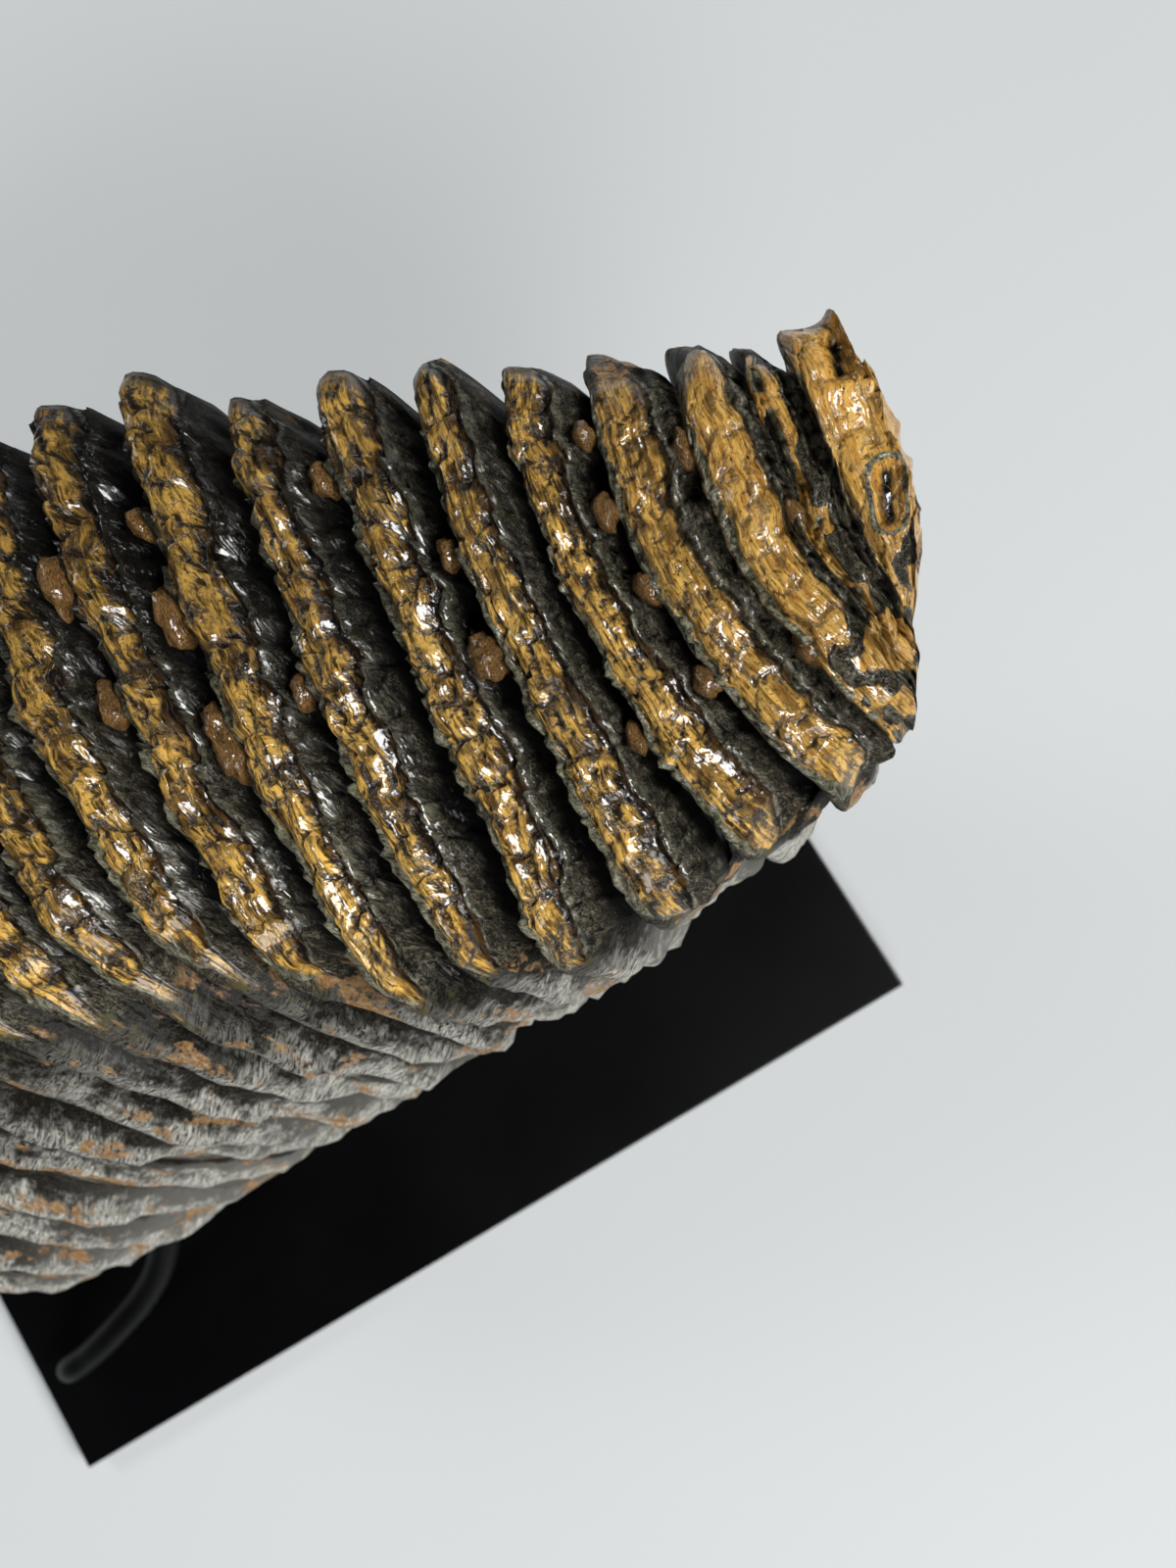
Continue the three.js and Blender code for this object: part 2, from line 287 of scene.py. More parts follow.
# ---- The tooth
def lengthwise_cuts():
    cuts = []
    for plate in range(LAST + 1):
        pattern = FINE_CUTS if plate < FINE_PLATES else COARSE_CUTS
        for across in pattern:
            s = plate + across
            if -RIM_PLACE < s < LAST + RIM_PLACE:
                cuts.append(s)
    return np.array([-RIM_PLACE] + cuts + [LAST + RIM_PLACE])


def select_where(bar, kind, chosen):
    """Selects the edges or faces for which a test holds, and ends in edit mode."""
    bpy.ops.mesh.select_all(action="DESELECT")
    bpy.ops.object.mode_set(mode="OBJECT")
    for element in getattr(bar.data, kind):
        element.select = chosen(element)
    bpy.ops.object.mode_set(mode="EDIT")


def edge_ends(bar, edge):
    return [bar.data.vertices[v].co for v in edge.vertices]


def cut_side(bar, axis, side, pieces):
    """Splits the outline edge that lies on one side into equal pieces."""
    select_where(bar, "edges", lambda edge: all(abs(end[axis] - side) < 1e-5 for end in edge_ends(bar, edge)))
    bpy.ops.mesh.select_mode(type="EDGE")
    bpy.ops.mesh.subdivide(number_cuts=pieces - 1)


def runs_along(bar, edge):
    one, other = edge_ends(bar, edge)
    return abs(one.x - other.x) > 1e-6


def close_ends(bar):
    """The two end faces get rings drawn in towards their middle, so that they can be rounded."""
    for end in (0.0, 1.0):
        select_where(bar, "polygons", lambda face: len(face.vertices) > 8 and abs(face.center.x - end) < 1e-5)
        bpy.ops.mesh.select_mode(type="FACE")
        for shrink in END_RINGS:
            bpy.ops.mesh.extrude_region_move(TRANSFORM_OT_translate={"value": (0, 0, 0)})
            bpy.ops.transform.resize(value=(1, shrink, shrink), center_override=(end, 0, 0))
        bpy.ops.mesh.select_mode(type="EDGE")


def block_out_crown():
    """A bar cut at every plate's edges, with its points' places: plate s, across u and down v."""
    cuts = lengthwise_cuts()
    deselect_all()
    bpy.ops.mesh.primitive_plane_add(size=2, rotation=(0, math.radians(90), 0))
    bar = bpy.context.object
    bar.name = "molar_tooth"
    bpy.ops.object.transform_apply(location=True, rotation=True, scale=True)
    bpy.ops.object.mode_set(mode="EDIT")
    cut_side(bar, 2, 1, TOP_COLUMNS)
    cut_side(bar, 2, -1, UNDER_COLUMNS)
    cut_side(bar, 1, 1, BACK_ROWS)
    cut_side(bar, 1, -1, FRONT_ROWS)
    bpy.ops.mesh.select_all(action="SELECT")
    bpy.ops.mesh.extrude_region_move(TRANSFORM_OT_translate={"value": (1, 0, 0)})
    per_piece = math.ceil((len(cuts) - 1) / FIRST_CUTS)
    for pieces in (FIRST_CUTS, per_piece):
        select_where(bar, "edges", lambda edge: runs_along(bar, edge))
        bpy.ops.mesh.subdivide(number_cuts=pieces - 1)
    close_ends(bar)
    bpy.ops.object.mode_set(mode="OBJECT")
    total = FIRST_CUTS * per_piece
    points = read_points(bar)
    ring = np.rint(points[:, 0] * total).astype(int)
    places = np.interp(np.arange(total + 1), np.linspace(0, total, len(cuts)), cuts)
    return bar, places[ring], points[:, 1], ((1 - points[:, 2]) / 2) ** CROWN_PACKING


SLOW_AT = {name: natural_curve(STATIONS, values) for name, values in SLOW.items()}


def slow(name, s):
    scale = 1 if name == "lean" else MM
    return SLOW_AT[name](s) * scale


def wander(index, u):
    """How each plate strays from its even course, along its width."""
    wide = lattice_noise(u * 1.7 + 9, index * 5.3, 3)
    close = lattice_noise(u * 5.2 + 4, index * 7.1, 4)
    tight = lattice_noise(u * 13 + 2, index * 3.7, 5)
    return MM * (0.9 * wide + 0.7 * close + 0.4 * tight)


def crown_point(s, u, v, inset, drop):
    """The crown's surface at plate s, across u (-1 front, 1 back) and down v (0 top, 1 base)."""
    nearest = np.clip(np.rint(s), 0, LAST).astype(int)
    away = np.abs(s - nearest)
    nxt = np.clip(nearest + np.sign(s - nearest), 0, LAST).astype(int)
    past = np.clip(away - RIM_PLACE, 0, 1) / (1 - 2 * RIM_PLACE)

    def blend(column, share):
        return PLATES[nearest, column] * (1 - share) + PLATES[nxt, column] * share

    beyond = np.where(nearest == nxt, (nearest - s) * PITCH, 0)
    front_top, back_top = blend(1, past), blend(2, past)
    height, widest_depth = slow("height", s), slow("widest_depth", s)
    depth = drop + v * (height - drop)
    swell = 1 - np.power(1 - np.clip(depth / widest_depth, 0, 1), 1.7)
    under = np.clip((depth - widest_depth) / (height - widest_depth), 0, None)
    tuck = UNDER_TUCK * under * under
    widest_front = slow("widest_front", s)
    widest_back = widest_front + slow("widest_span", s)
    front = front_top + (widest_front - front_top) * swell + tuck + inset
    back = back_top + (widest_back - back_top) * swell - tuck - inset
    y = (front + back) / 2 + u * (back - front) / 2
    tilt = SIDEWAYS_TILT * (y - (front_top + back_top) / 2)
    corner = CORNER_DROP * np.abs(u) ** 7
    dome = (slow("dome", s) * u * u + corner) * (1 - v) ** 2
    lift = UNDER_ROUND * np.abs(u) ** 3 * v ** 4
    z = slow("top", s) + tilt - depth - dome + lift
    curl = (blend(3, away) * u - blend(4, away) * u * u) * (1 - 0.5 * v)
    stray = wander(nearest, u) * (1 - away) + wander(nxt, u) * away
    x = blend(0, away) + beyond + curl + stray * (1 - 0.6 * v) + slow("lean", s) * depth
    return np.stack([x, y, z], axis=-1)


def under_place(s, u):
    """A place on the crown's plain underside, from the tooth's own zero."""
    return crown_point(np.array([float(s)]), np.array([float(u)]), np.array([1.0]), 0, 0)[0]


def rough(along, across, key, size, seed, octaves=3):
    """Broken-up relief whose largest grains have the given size, in metres."""
    total, weight = 0, 1
    for octave in range(octaves):
        grain = size / 2 ** octave
        total = total + weight * lattice_noise(along / grain, key + across / grain, seed + octave)
        weight *= 0.55
    return total


def broken_cells(along, across, key, length, width, seed):
    """Irregular blocks: for each point its block's own height and how near it is to the block's edge."""
    a, b = along / length, across / width + key * 5.17
    a = a + 0.35 * lattice_noise(a * 1.7, b * 1.3, seed + 1)
    b = b + 0.3 * lattice_noise(a * 1.1 + 40, b * 1.9, seed + 2)
    table = np.random.RandomState(seed).uniform(0, 1, (3, NOISE_CELLS, NOISE_CELLS))
    nearest = np.full(a.shape, 9.0)
    second = np.full(a.shape, 9.0)
    height = np.zeros(a.shape)
    lean = np.zeros(a.shape)
    for da in (-1, 0, 1):
        for db in (-1, 0, 1):
            i, j = np.floor(a).astype(int) + da, np.floor(b).astype(int) + db
            jitter_a, jitter_b, own = table[:, i % NOISE_CELLS, j % NOISE_CELLS]
            away_a, away_b = a - i - 0.1 - 0.8 * jitter_a, b - j - 0.1 - 0.8 * jitter_b
            away = np.hypot(away_a, away_b)
            closer = away < nearest
            second = np.where(closer, nearest, np.minimum(second, away))
            nearest = np.where(closer, away, nearest)
            height = np.where(closer, 2 * own - 1, height)
            turn = own * 40
            lean = np.where(closer, away_a * np.cos(turn) + away_b * np.sin(turn), lean)
    return height, lean, second - nearest

class Places:
    """Where each point of the crown lies, and what follows from that."""

    def __init__(self, s, u, v):
        self.s, self.u, self.v = s, u, v
        self.nearest = np.clip(np.rint(s), 0, LAST)
        self.across = s - self.nearest
        self.across_m = self.across * PITCH
        self.side = np.sign(self.across)
        self.key = self.nearest * PLATE_KEY
        self.half_width = slow("widest_span", s) / 2
        self.top_half = np.interp(s, np.arange(LAST + 1), (PLATES[:, 2] - PLATES[:, 1]) / 2)
        self.along = u * self.top_half
        self.depth = v * slow("height", s)
        self.unworn = smoothstep(*WEAR_FADES, s)
        self.fresh = 1 - smoothstep(*FRESH_FADES, s)
        self.fused = (1 - smoothstep(2.3, 3.0, s)) * smoothstep(0.4, 0.58, -u)
        self.on_top = v < TOP_EDGE
        self.underneath = v > UNDER_EDGE
        self.on_flank = np.abs(u) > FLANK_EDGE
        self.end = np.minimum(np.abs(s + RIM_PLACE), np.abs(s - LAST - RIM_PLACE)) < 1e-6


# ---- The chewing face: each function changes drop, the depth below the plain level
def folded_across(p):
    """The place across each plate, moved by the plate's small folds and its own breadth."""
    fold = 0
    for reach, length, apart, seed in FOLDS:
        fold = fold + reach * lattice_noise(p.along / (length * MM), p.key + p.side * apart, seed)
    broad = np.interp(p.nearest, np.arange(len(BROADER)), BROADER)
    shifted = (p.across + fold * (1 - (2 * p.across) ** 2)) * (1 - broad)
    return np.where(p.s < 0, shifted * 0.8, shifted)


def fill_valleys(p, drop, shifted):
    """Cement fills the valleys in part, and almost wholly at the worn end."""
    valley = smoothstep(0.3, 0.5, np.maximum(np.abs(p.across), np.abs(shifted)))
    fill = smoothstep(0.1, 0.6, lattice_noise(p.along / (6 * MM), np.floor(p.s + 0.5) * 3.3, 14))
    ground = (1 - smoothstep(2.6, 4.2, p.s)) * (0.3 + 0.3 * smoothstep(0.3, 0.8, -p.u))
    ground = np.maximum(ground, 0.82 * (1 - smoothstep(1.5, 2.2, p.s)))
    ground = np.maximum(ground, 0.85 * p.fused)
    uneven = 0.12 * rough(p.along, p.across_m, p.key, 3 * MM, 26)
    drop *= 1 - valley * (1 - p.unworn) * (0.25 * fill + ground + uneven)


def raise_rims(p, drop, shifted):
    """Beaded enamel rims on both sides of the dentine."""
    rear_rim = np.exp(-((shifted - 0.36) / 0.05) ** 2)
    front_rim = np.exp(-((shifted + 0.24) / 0.045) ** 2)
    beads = np.abs(lattice_noise(p.along / BEAD_LENGTH, p.key + p.side * 4, 15))
    beads *= 0.6 + 0.8 * np.abs(lattice_noise(p.along / (5 * MM), p.key + p.side * 3, 27))
    drop -= (rear_rim * 1.5 + front_rim * 0.9) * (beads - 0.4) * MM * (1 - p.unworn)
    sway = lattice_noise(p.along / (6 * MM), p.key + p.side, 16)
    drop -= (rear_rim + front_rim) * 0.5 * sway * MM * (1 - p.unworn)


def break_dentine(p, drop, dentine, calm_end):
    """Blocks and splinters in the dentine; returns how near each point is to a crack."""
    gold = dentine * (1 - 0.45 * p.fresh)
    height, lean, edge = broken_cells(p.along, p.across_m, p.nearest, *BLOCKS)
    crevice = 1 - smoothstep(0.02, 0.2, edge)
    drop += gold * calm_end * (crevice - 0.6 * height - 0.8 * lean) * MM
    height, lean, edge = broken_cells(p.along, p.across_m, p.nearest + 0.37, *SPLINTERS)
    drop -= gold * calm_end * (0.22 * height + 0.3 * lean) * MM
    drop += gold * 0.3 * rough(p.along * 0.4, p.across_m, p.key, 2.0 * MM, 17) * MM
    return np.maximum(crevice, 0.6 * (1 - smoothstep(0.0, 0.2, edge))) * dentine


def crumble_cement(p, drop, dentine, calm_end, crevice):
    """Crumbs beside the dentine; returns the cracks with the gaps between crumbs added."""
    height, lean, edge = broken_cells(p.along, p.across_m, p.nearest + 0.71, *CRUMBS)
    share = (1 - dentine) * (1 - p.unworn) * calm_end
    gap = 1 - smoothstep(0.0, 0.3, edge)
    drop += share * (1 + 0.6 * p.fresh) * (0.7 * gap - 0.55 * height - 0.5 * lean) * MM
    drop += 1.1 * p.fresh * lattice_noise(p.along / (6 * MM), p.key + p.across * 2.2, 43) * MM
    return np.maximum(crevice, 0.8 * gap * (1 - dentine))


def roll_plates(p, drop, shifted):
    """Rubble on the slopes, each plate's own level and swells, and the knobs of unworn plates."""
    slope = smoothstep(-0.5, -0.42, shifted) * (1 - smoothstep(-0.27, -0.2, shifted))
    drop += slope * 1.5 * rough(p.along, p.across_m, p.key, 3.6 * MM, 21) * MM
    drop += 0.7 * MM * np.sin(p.nearest * 2.3)
    drop -= 0.8 * MM * lattice_noise(p.along / (16 * MM), p.key, 19)
    knobs = np.abs(np.sin(p.along / FINGER_WIDTH * math.pi + p.key))
    uneven = 0.6 * rough(p.along, p.across_m, p.key, 5 * MM, 24)
    drop += p.unworn * (2.4 * (1 - knobs) ** 2 + uneven) * MM


def worn_face(p):
    """Depth of the chewing face, its plain depth, where the tissues lie on it, and its cracks."""
    shifted = folded_across(p)
    worn = np.interp(shifted, WORN_ACROSS, WORN_DROP) * MM
    plain_drop = worn * (1 - p.unworn)
    round_top = (0.5 + 9.0 * np.abs(2 * p.across) ** 2.4) * MM
    drop = plain_drop + round_top * p.unworn
    fill_valleys(p, drop, shifted)
    raise_rims(p, drop, shifted)
    dentine = smoothstep(-0.2, -0.14, shifted) * (1 - smoothstep(0.27, 0.32, shifted)) * (1 - p.unworn)
    calm_end = 1 - smoothstep(0.84, 0.98, np.abs(p.u))
    crevice = break_dentine(p, drop, dentine, calm_end)
    crevice = crumble_cement(p, drop, dentine, calm_end, crevice)
    roll_plates(p, drop, shifted)
    return np.clip(drop, *DROP_LIMITS), plain_drop, shifted, crevice


# ---- The crown's flanks, ends and underside
def flank_inset(p):
    """How far in the flanks lie: a rounded ridge for each plate, with a groove beside it."""
    stir = (1 - (2 * p.across) ** 4) * smoothstep(0.02, 0.15, p.v)
    wavy = p.across + stir * 0.14 * lattice_noise(p.depth / (11 * MM), p.key, 61)
    wavy = wavy + stir * 0.09 * lattice_noise(p.depth / (4.5 * MM), p.key, 63)
    wavy = np.where((p.s < 0) & (p.u > 0), 0.3 * wavy, wavy)
    knuckle = smoothstep(0.1, 0.7, p.u) * (1 - smoothstep(0.12, 0.5, p.v))
    ridge = np.interp(wavy, RIDGE_ACROSS, RIDGE_RISE) * (1 - knuckle)
    ridge += np.interp(wavy, RIDGE_ACROSS, KNUCKLE_RISE) * knuckle
    groove = FLANK_GROOVE * (1.35 - 0.35 * smoothstep(0, 0.12, p.v) - 0.25 * smoothstep(0.1, 0.8, p.v))
    groove = groove * (1 - knuckle) + KNUCKLE_GROOVE * knuckle * (1 - 0.45 * p.fresh)
    shallow = 0.75 * (1 - smoothstep(2.0, 4.6, p.s)) * (p.u < 0)
    groove = groove * (1 - shallow) * (1 - 0.5 * smoothstep(20.5, 23, p.s))
    inset = groove * (1 - ridge)
    inset += 1.2 * MM * rough(p.depth, p.across_m, p.key, 5.5 * MM, 62)
    inset += 2.3 * MM * lattice_noise(p.depth / (12 * MM), p.key + p.across * 2, 65)
    return inset, ridge


def push_rims(p, points):
    """The rims' beads also bulge sideways, over the valleys."""
    beads = np.abs(lattice_noise(p.along / BEAD_LENGTH, p.key + p.side * 4, 15))
    beads *= 0.5 + lattice_noise(p.along / (4.3 * MM), p.key + p.side * 2, 28)
    rims = np.exp(-((np.abs(p.across) - RIM_PLACE) / 0.07) ** 2) * p.on_top
    rims = rims * (1 - p.unworn) * (p.s > -0.2)
    rims *= 1 - smoothstep(0.84, 0.97, np.abs(p.u))
    points[:, 0] -= p.side * rims * beads * 0.8 * MM


def distance_to(points, start, end):
    """Distance in millimetres, seen from above, from each point to a line between two places."""
    flat = points[:, :2] / MM
    start, end = np.array(start), np.array(end)
    run = end - start
    share = np.clip(((flat - start) @ run) / (run @ run), 0, 1)
    return np.hypot(*(flat - start - share[:, None] * run).T)


def mark_worn_end(p, points):
    """Hollows, an enamel ring and a low amber knob; returns where each of the three is, the hollows as a mask
    for painted shade.
    """
    hollow_shade, ringed = np.zeros(len(points)), np.zeros(len(points))
    for start, finish, width, depth_mm, has_ring in HOLLOWS:
        away = distance_to(points, start, finish)
        pit = np.exp(-(away / width) ** 2) * p.on_top
        points[:, 2] -= pit * depth_mm * MM
        # Painted shade: the hollows' middles are painted near black.
        hollow_shade = np.maximum(hollow_shade, smoothstep(0.6, 0.9, pit))
        if has_ring:
            ringed = np.exp(-((away - width - 0.8) / 0.75) ** 2) * p.on_top
            points[:, 2] += 0.7 * ringed * MM
    amber = np.exp(-(distance_to(points, *AMBER_SPOT) / AMBER_RADIUS) ** 4) * p.on_top
    points[:, 2] += AMBER_RISE * amber * MM
    return hollow_shade, ringed, amber


def trim_worn_end(p, points):
    """Draws the worn end in to its ragged outline, softly."""
    points[:, 0] += WORN_END_REACH * np.clip(-p.s / RIM_PLACE, 0, 1)
    ragged = 0.9 * lattice_noise(points[:, 1] / (4 * MM), points[:, 2] / (5 * MM), 45)
    limit = (np.interp(points[:, 1] / MM, WORN_LIMIT_Y, WORN_LIMIT_X) + ragged - 1.2) * MM
    past_limit = np.clip(points[:, 0] - limit, 0, None)
    points[:, 0] -= past_limit - 1.6 * MM * np.tanh(past_limit / (5 * MM))


def round_ends(p, points):
    """The worn end's face is rough; the rear end is rounded and has finger-like ridges."""
    outward = np.where(p.s < 1, 1, -1)
    bulge = (1 - p.u * p.u) * (1 - (2 * p.v - 1) ** 2)
    out = np.clip(bulge, 0, 1)
    from_middle = p.u * p.half_width
    crust = rough(from_middle, p.depth, 0, 7 * MM, 71)
    fingers = np.abs(np.sin(from_middle / FINGER_WIDTH * math.pi + 0.06 * p.depth / MM))
    fingers = fingers * (p.s > 1) * (1 - p.v)
    rounded = np.where(p.s < 1, 0.3 * bulge, 2 * out ** 0.7)
    relief = (bulge * 1.2 * crust + rounded * fingers) * MM
    points[:, 0] += p.end * outward * (rounded * END_BULGE + relief)
    steps = rough(from_middle, p.depth, 3, 4.5 * MM, 74)
    points[:, 0] += p.end * (p.s < 1) * out ** 0.4 * 1.5 * steps * MM


def shape_underside(p, points, ridge):
    """The flanks' grooves run on across the underside, and broken root stubs hang from it."""
    inner = p.underneath * (1 - np.abs(p.u) ** 4)
    relief = 1.5 * MM * rough(p.along, p.across_m, p.key, 6 * MM, 66)
    points[:, 2] += inner * (FLANK_GROOVE * (1 - ridge) + relief)
    for plate, place, radius, length in ROOTS:
        centre = under_place(plate, place)
        reach = np.hypot(points[:, 0] - centre[0], points[:, 1] - centre[1]) / (radius * MM)
        points[:, 2] -= length * MM * (1 - smoothstep(0.45, 1.0, reach)) * p.underneath


# ---- What the material reads from the crown
def grain_place(p, plain_drop):
    """The grain's own flat place for each point: across the plates, and along them and down."""
    beside = p.side * plain_drop * smoothstep(0.2, 0.35, np.abs(p.across))
    sideways = p.across_m + np.where(p.on_flank, 0, beside)
    course = np.where(p.on_flank, np.sign(p.u) * (p.top_half + p.depth), p.along)
    from_middle = p.u * p.half_width
    cap = p.end & (np.abs(p.u) < FLANK_EDGE) & (p.v > 0.001) & (p.v < FLANK_EDGE)
    course = np.where(cap & (p.s < 1), from_middle, course)
    sideways = np.where(cap & (p.s < 1), p.depth, sideways)
    course = np.where(cap & (p.s > 1), p.top_half + p.depth, course)
    sideways = np.where(cap & (p.s > 1), from_middle, sideways)
    inward = (1 - np.abs(p.u)) * p.half_width
    under = np.sign(p.u) * (p.top_half + p.depth + inward)
    return sideways, np.where(p.underneath & ~p.on_flank, under, course)


def tissue_place(p, points, shifted, course, worn_end, ringed, amber):
    """Where each point lies across its plate, as the material sees it: rims, dentine, cement."""
    taper = smoothstep(-7 * MM, 5 * MM, np.abs(course) - p.top_half)
    place = 0.1 + (shifted - 0.1) / (1 - 0.72 * taper)
    place = np.where(p.s < -0.1, np.maximum(place, -0.1), place)
    bare = smoothstep(0.0, 0.25, lattice_noise(p.along / (5 * MM), 3.3 + p.across, 47)) * (p.nearest == 1)
    place -= 0.5 * bare * p.on_top
    mottled = lattice_noise(points[:, 0] / (2.2 * MM), points[:, 1] / (2 * MM), 49)
    mottled = smoothstep(-0.3, 0.0, mottled)
    place -= 0.5 * mottled * p.fused * p.on_top * (place > -0.2)
    place += (0.37 - place) * smoothstep(0.3, 0.7, ringed)
    place += (0.15 - place) * smoothstep(0.3, 0.6, amber)
    return np.where(worn_end, 0.15, place)


def beyond_edge(p, course, worn_end):
    """How far each point lies past the chewing face's edge, down the flank, in metres."""
    reaches_over = 2 * MM + 5 * MM * (1 - smoothstep(1.5, 4.5, p.s))
    past_edge = np.abs(course) - p.top_half + 4 * MM * smoothstep(0.3, 0.8, p.u)
    past_edge -= reaches_over * smoothstep(0.3, 0.8, -p.u)
    past_edge *= 1 + 2.5 * (1 - smoothstep(4, 10, p.s)) * (p.u < 0) * (past_edge > 0)
    gold_reach = (11 + 7 * lattice_noise(p.u * p.half_width / (7 * MM), p.v * 4, 76)) * MM
    return np.where(worn_end, p.depth - gold_reach, past_edge)


def carve_crown(bar, s, u, v):
    """Gives the bar the crown's shape and keeps, for each point, what its material reads."""
    p = Places(s, u, v)
    drop, plain_drop, shifted, crevice = worn_face(p)
    inset, ridge = flank_inset(p)
    points = crown_point(s, u, v, inset, drop * (1 - smoothstep(0, 0.1, v)))
    push_rims(p, points)
    hollow_shade, ringed, amber = mark_worn_end(p, points)
    trim_worn_end(p, points)
    round_ends(p, points)
    shape_underside(p, points, ridge)
    points += TOOTH_PLACE
    write_points(bar, points)

    worn_end = p.end & (s < 1) & (v > 1e-4)
    sideways, course = grain_place(p, plain_drop)
    # Painted shade: darker towards the rear plates and the back flank, fading down the sides.
    rear_shade = smoothstep(1.5, 9, s) * smoothstep(-0.7, 0.5, u) * (1 - smoothstep(0.3, 0.7, v))
    # Painted shade goes on the deep valleys and the hollows; it reaches a little higher towards the rear and
    # lies lower at the worn end.
    drop_for_shade = drop / MM + 0.9 * smoothstep(3, 8, s) - 2.4 * (1 - smoothstep(1, 2.2, s))
    set_attributes(bar, {
        "across": tissue_place(p, points, shifted, course, worn_end, ringed, amber),
        "past_edge": beyond_edge(p, course, worn_end) / MM,
        "on_ridge": p.across,
        "lump": 0 * s,
        "unworn": p.unworn,
        "fresh": p.fresh,
        "rear_shade": rear_shade,
        "crevice": crevice * p.on_top * (1 - amber),
        # valley: painted shade, near black in the deep valleys and the hollows
        "valley": np.maximum(smoothstep(3.4, 5.6, drop_for_shade) * p.on_top, hollow_shade),
    })
    set_vector(bar, "grain", np.stack([sideways, course, p.nearest * 37 * MM], axis=-1) / MM)


# ---- Cement lumps
def lump_axes(valley_place, place):
    """Middle of a lump, sunk into its valley, and its directions along, beside and up."""
    at = [crown_point(np.array([valley_place]), np.array([place + step]), np.array([0.0]), 0, LUMP_SINK)[0]
          for step in (-0.05, 0, 0.05)]
    course = (at[2] - at[0]) / np.linalg.norm(at[2] - at[0])
    side = np.cross(course, [0, 0, 1])
    side /= np.linalg.norm(side)
    return at[1] + TOOTH_PLACE, course, side, np.cross(side, course)


def set_lump(index, valley_place, place, length, width, height):
    """One rounded lump of cement, lying along its valley."""
    middle, course, side, rise = lump_axes(valley_place, place)
    deselect_all()
    bpy.ops.mesh.primitive_ico_sphere_add(subdivisions=4 if length * width > LARGE_LUMP else 3, radius=1)
    lump = bpy.context.object
    ball = read_points(lump)
    turned = np.arctan2(ball[:, 1], ball[:, 0])
    run = ball[:, 0] * length * MM
    knobs = rough(run, turned * 2 * MM, index * 7.7, 2.6 * MM, 81)
    pits = rough(run, (turned + ball[:, 2]) * 2 * MM, index * 3.1, 1.1 * MM, 85)
    sized = ball * (1 + 0.22 * knobs + 0.07 * pits)[:, None] * np.array([length, width, height]) * MM
    write_points(lump, middle + sized[:, :1] * course + sized[:, 1:2] * side + sized[:, 2:] * rise)
    set_attributes(lump, {name: np.full(len(ball), value) for name, value in LUMP_ATTRIBUTES.items()})
    set_vector(lump, "grain", ball * np.array([width, length, height]) + index * 9.0)
    return lump


def read_points(piece):
    flat = np.empty(len(piece.data.vertices) * 3)
    piece.data.vertices.foreach_get("co", flat)
    return flat.reshape(-1, 3)


def write_points(piece, points):
    piece.data.vertices.foreach_set("co", points.reshape(-1))
    piece.data.update()


def set_attributes(piece, values_by_name):
    for name, values in values_by_name.items():
        layer = piece.data.attributes.new(name, "FLOAT", "POINT")
        layer.data.foreach_set("value", np.asarray(values, dtype=np.float32))


def set_vector(piece, name, values):
    layer = piece.data.attributes.new(name, "FLOAT_VECTOR", "POINT")
    layer.data.foreach_set("vector", np.asarray(values, dtype=np.float32).reshape(-1))


def make_tooth():
    bar, s, u, v = block_out_crown()
    carve_crown(bar, s, u, v)
    lumps = [set_lump(index, *lump) for index, lump in enumerate(LUMPS)]
    deselect_all()
    for piece in [bar] + lumps:
        piece.select_set(True)
    bpy.context.view_layer.objects.active = bar
    bpy.ops.object.join()
    bpy.ops.object.mode_set(mode="EDIT")
    bpy.ops.mesh.select_all(action="SELECT")
    bpy.ops.mesh.normals_make_consistent(inside=False)
    bpy.ops.object.mode_set(mode="OBJECT")
    bpy.ops.object.shade_smooth()
    return bar


